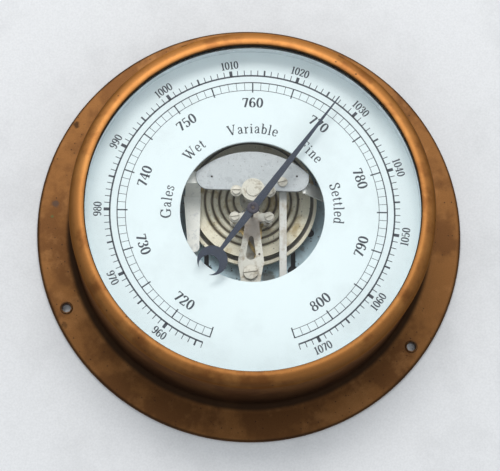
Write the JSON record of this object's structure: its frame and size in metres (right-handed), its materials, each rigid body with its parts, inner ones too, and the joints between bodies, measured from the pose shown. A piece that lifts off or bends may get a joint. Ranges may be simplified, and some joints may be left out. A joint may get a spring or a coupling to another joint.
{
  "type": "marine barometer",
  "caption": "Round brass ship's aneroid barometer: flanged drum case, glazed bezel, open-centre dial, pointer and a working capsule movement.",
  "frame": {"origin": "centre of the flange's flat back face", "axes": "+Z towards the reader through the glass, +Y towards the top of the dial, +X to the right of the dial"},
  "size_m": [0.15, 0.15, 0.0389],
  "materials": {
    "case_brass": "tarnished satin, brown patina with speckles",
    "bezel_brass": "tarnished satin, brushed round",
    "eyelet_brass": "dark, worn bright on the lip",
    "gasket_black": "matte",
    "ring_black": "matte black",
    "glass_clear": "clear, flat",
    "dial_white": "matte white enamel",
    "ring_grey": "matte",
    "cover_steel": "zinc-plated, dull",
    "screw_steel": "nickel-plated, slotted",
    "base_blue": "pale blue with dark specks",
    "spacer_brass": "turned",
    "capsule_metal": "pale gold, slightly stained",
    "bridge_metal": "matte, stained",
    "rivet_dark": "dark",
    "guide_metal": "satin",
    "train_metal": "warm satin",
    "arbor_steel": "polished",
    "pointer_blue": "dark slate blue, satin",
    "hub_dark": "dark, satin",
    "spring_blue": "blued",
    "bar_metal": "satin"
  },
  "bodies": {
    "case": {"case_body": "case_brass", "mounting_eyelets": "eyelet_brass", "bezel": "bezel_brass", "bezel_gasket": "gasket_black", "glass": "glass_clear", "spacer_ring": "ring_black", "dial": "dial_white", "dial_seat_ring": "ring_grey", "back_cover": "cover_steel", "back_cover_screws": "screw_steel", "base_plate": "base_blue", "base_spacers": "spacer_brass", "base_spacer_screws": "screw_steel", "base_plate_screws": "screw_steel", "capsule_stud": "spacer_brass", "capsule_lower_diaphragm": "capsule_metal", "capsule_upper_diaphragm": "capsule_metal", "bridge_plate": "bridge_metal", "bridge_leg_left": "bridge_metal", "bridge_leg_right": "bridge_metal", "bridge_rivets": "rivet_dark", "stem_guide": "guide_metal", "stem_guide_screws": "screw_steel", "bridge_plate_screw": "screw_steel", "train_lower_plate": "train_metal", "train_pillars": "spacer_brass", "train_main_pillar": "spacer_brass", "train_cock_pillar": "spacer_brass", "train_cock": "train_metal", "cock_small_screws": "screw_steel", "cock_main_screw": "screw_steel", "hairspring": "spring_blue", "hairspring_stud": "spacer_brass", "upper_bar_bracket": "bridge_metal", "lower_bar_bracket": "bridge_metal", "lower_bracket_screw": "screw_steel", "bar_pivot_screws": "screw_steel"},
    "pointer": {"pointer_arbor": "arbor_steel", "pinion": "arbor_steel", "pointer": "pointer_blue", "pointer_hub": "hub_dark", "hairspring_collet": "spacer_brass"},
    "sector": {"sector_wheel": "spacer_brass", "sector_arbor": "arbor_steel", "sector_pin": "arbor_steel"},
    "rocker": {"rocking_bar": "bar_metal", "lifting_arm": "train_metal", "drive_fork": "train_metal"},
    "stem": {"capsule_stem": "guide_metal"},
    "adjuster": {"adjusting_screw": "spacer_brass"}
  },
  "joints": [
    {"name": "pointer_turn", "type": "hinge", "parent": "case", "child": "pointer", "pos_m": [0, 0, 0.016], "axis": [0, 0, 1], "range_deg": [-126, 198], "stiffness_Nm_per_rad": 0.0003, "deforming": ["hairspring"]},
    {"name": "sector_swing", "type": "hinge", "parent": "case", "child": "sector", "pos_m": [0.0026, -0.0135, 0.016], "axis": [0, 0, 1], "range_deg": [-19.9, 12.7]},
    {"name": "bar_rock", "type": "hinge", "parent": "case", "child": "rocker", "pos_m": [0.0108, -0.008, 0.021], "axis": [0, 1, 0], "range_deg": [-3, 4.7]},
    {"name": "capsule_lift", "type": "slide", "parent": "case", "child": "stem", "axis": [0, 0, 1], "range_m": [-0.00055, 0.00086], "deforming": ["capsule_upper_diaphragm"]},
    {"name": "adjusting_screw_turn", "type": "hinge", "parent": "case", "child": "adjuster", "pos_m": [0.0003, 0.0084, 0.003], "axis": [0, 0, 1], "range_deg": [-180, 180]}
  ],
  "couplings": [
    {"joint": "sector_swing", "follows": "pointer_turn", "ratio": -0.1},
    {"joint": "bar_rock", "follows": "pointer_turn", "ratio": 0.023579},
    {"joint": "capsule_lift", "follows": "pointer_turn", "m_per_rad": 0.00024757}
  ]
}
